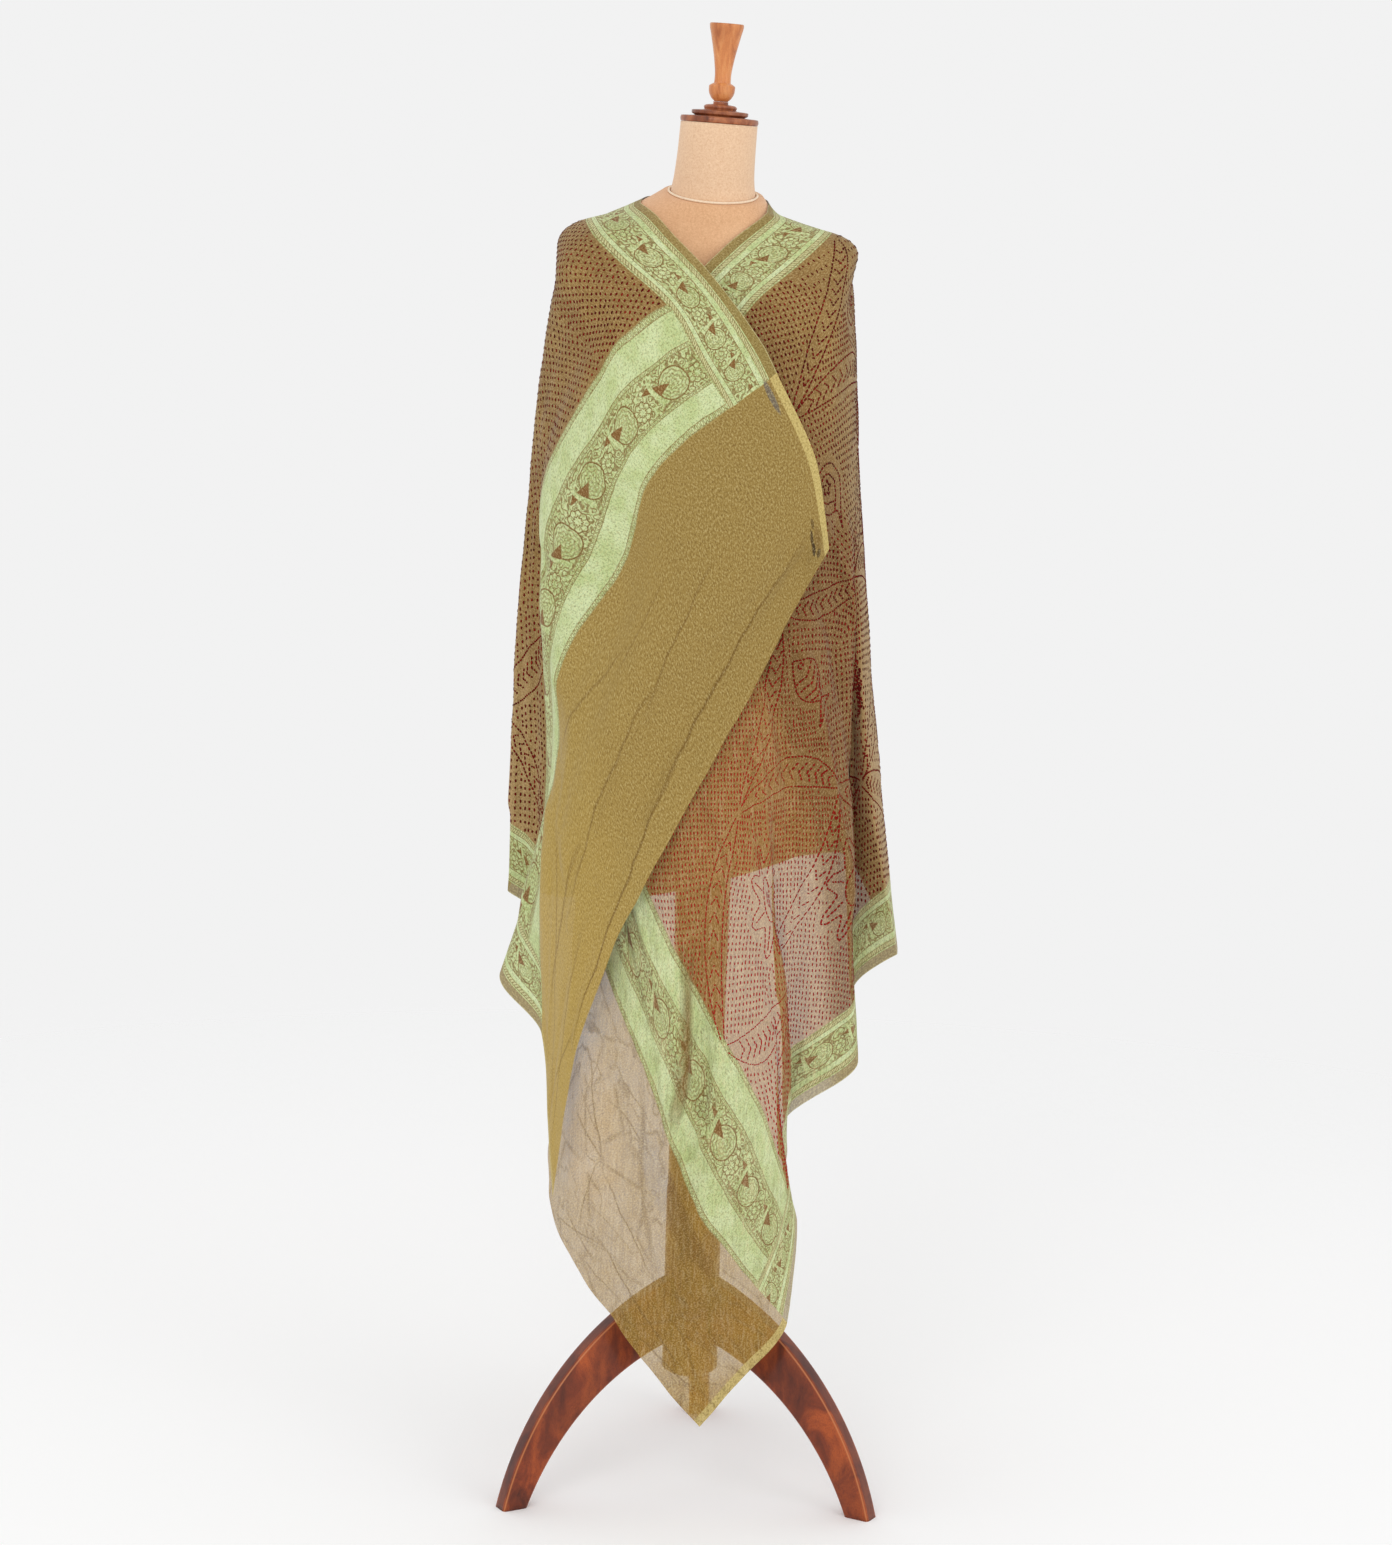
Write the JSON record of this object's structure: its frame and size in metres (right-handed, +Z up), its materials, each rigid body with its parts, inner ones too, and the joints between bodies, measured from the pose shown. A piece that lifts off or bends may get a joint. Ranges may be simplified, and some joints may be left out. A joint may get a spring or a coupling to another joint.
{
  "type": "banarasi georgette dupatta on a dress form",
  "caption": "Long sheer dupatta with woven borders and running-stitch embroidery, crossed over a dress form on a wooden tripod stand.",
  "frame": {"origin": "centre of the footprint on the floor, under the middle of the bounding box", "axes": "+Z up along the stand, -Y towards the front where the dupatta's ends cross"},
  "size_m": [0.4754, 0.4102, 1.744],
  "materials": {
    "georgette": "matt crinkled georgette, sheer in one layer",
    "linen": "matt fine pile cover",
    "piping_cotton": "matt cotton cord",
    "cap_wood": "varnished dark turned wood",
    "light_wood": "varnished light turned wood",
    "dark_wood": "varnished dark wood"
  },
  "bodies": {
    "root": {"dupatta": "georgette", "torso": "linen", "neck": "linen", "neck_piping": "piping_cotton", "neck_cap": "cap_wood", "finial": "light_wood", "column": "dark_wood", "leg_left": "dark_wood", "leg_right": "dark_wood", "leg_back": "dark_wood"}
  },
  "joints": []
}
